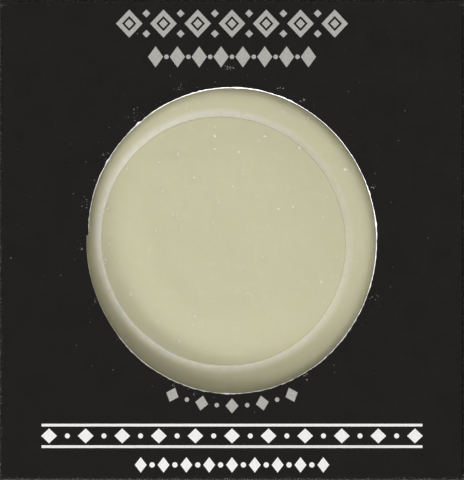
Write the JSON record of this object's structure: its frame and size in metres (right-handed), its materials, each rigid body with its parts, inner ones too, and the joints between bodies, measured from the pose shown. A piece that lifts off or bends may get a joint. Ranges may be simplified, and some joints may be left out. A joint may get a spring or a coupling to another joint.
{
  "type": "boxed shaving soap puck",
  "caption": "Round shaving soap puck with a ridged face, in a black paperboard tuck-end carton with a die-cut oval window, hinged end closures, tuck flaps and dust flaps.",
  "frame": {"origin": "centre of the outer face of the carton's back panel, on the surface that it lies on", "axes": "+Z out of the windowed front panel, +X to the right of the front panel as it is read, +Y to its top end"},
  "size_m": [0.077, 0.0796, 0.0254],
  "materials": {
    "board_outside": "black ink under a satin varnish on folding boxboard, white at the cut edges",
    "board_inside": "uncoated off-white inside of the board, matte, with fine fibres",
    "glue": "dried white carton glue, translucent",
    "soap": "hard milled soap, pale olive cream, satin, slightly translucent"
  },
  "bodies": {
    "carton": {"front_panel": "board_outside", "back_panel": "board_outside", "left_side_panel": "board_outside", "right_side_panel": "board_outside", "glue_flap": "board_inside", "glue_line": "glue"},
    "top_closure": {"top_closure_panel": "board_outside"},
    "top_tuck": {"top_tuck_flap": "board_outside"},
    "top_left_dust": {"top_left_dust_flap": "board_outside"},
    "top_right_dust": {"top_right_dust_flap": "board_outside"},
    "bottom_closure": {"bottom_closure_panel": "board_outside"},
    "bottom_tuck": {"bottom_tuck_flap": "board_outside"},
    "bottom_left_dust": {"bottom_left_dust_flap": "board_outside"},
    "bottom_right_dust": {"bottom_right_dust_flap": "board_outside"},
    "puck": {"soap_puck": "soap"}
  },
  "joints": [
    {"name": "puck_shift", "type": "slide", "parent": "carton", "child": "puck", "axis": [1, 0, 0], "range_m": [-0.0003, 0.003]},
    {"name": "top_closure_swing", "type": "hinge", "parent": "carton", "child": "top_closure", "pos_m": [0, 0.03957, 0.02517], "axis": [1, 0, 0], "range_deg": [0, 150]},
    {"name": "top_tuck_fold", "type": "hinge", "parent": "top_closure", "child": "top_tuck", "pos_m": [0, 0.03957, 0.00077], "axis": [-1, 0, 0], "range_deg": [0, 22.5]},
    {"name": "top_left_dust_fold", "type": "hinge", "parent": "carton", "child": "top_left_dust", "pos_m": [-0.03828, 0.03902, 0.0127], "axis": [0, 0, 1], "range_deg": [0, 90]},
    {"name": "top_right_dust_fold", "type": "hinge", "parent": "carton", "child": "top_right_dust", "pos_m": [0.03828, 0.03902, 0.0127], "axis": [0, 0, -1], "range_deg": [0, 90]},
    {"name": "bottom_closure_swing", "type": "hinge", "parent": "carton", "child": "bottom_closure", "pos_m": [0, -0.03957, 0.02517], "axis": [-1, 0, 0], "range_deg": [0, 150]},
    {"name": "bottom_tuck_fold", "type": "hinge", "parent": "bottom_closure", "child": "bottom_tuck", "pos_m": [0, -0.03957, 0.00077], "axis": [1, 0, 0], "range_deg": [0, 22.5]},
    {"name": "bottom_left_dust_fold", "type": "hinge", "parent": "carton", "child": "bottom_left_dust", "pos_m": [-0.03828, -0.03902, 0.0127], "axis": [0, 0, -1], "range_deg": [0, 90]},
    {"name": "bottom_right_dust_fold", "type": "hinge", "parent": "carton", "child": "bottom_right_dust", "pos_m": [0.03828, -0.03902, 0.0127], "axis": [0, 0, 1], "range_deg": [0, 90]}
  ],
  "couplings": [
    {"joint": "top_tuck_fold", "follows": "top_closure_swing", "ratio": 0.15},
    {"joint": "top_left_dust_fold", "follows": "top_closure_swing", "ratio": 0.6},
    {"joint": "top_right_dust_fold", "follows": "top_closure_swing", "ratio": 0.6},
    {"joint": "bottom_tuck_fold", "follows": "bottom_closure_swing", "ratio": 0.15},
    {"joint": "bottom_left_dust_fold", "follows": "bottom_closure_swing", "ratio": 0.6},
    {"joint": "bottom_right_dust_fold", "follows": "bottom_closure_swing", "ratio": 0.6}
  ]
}
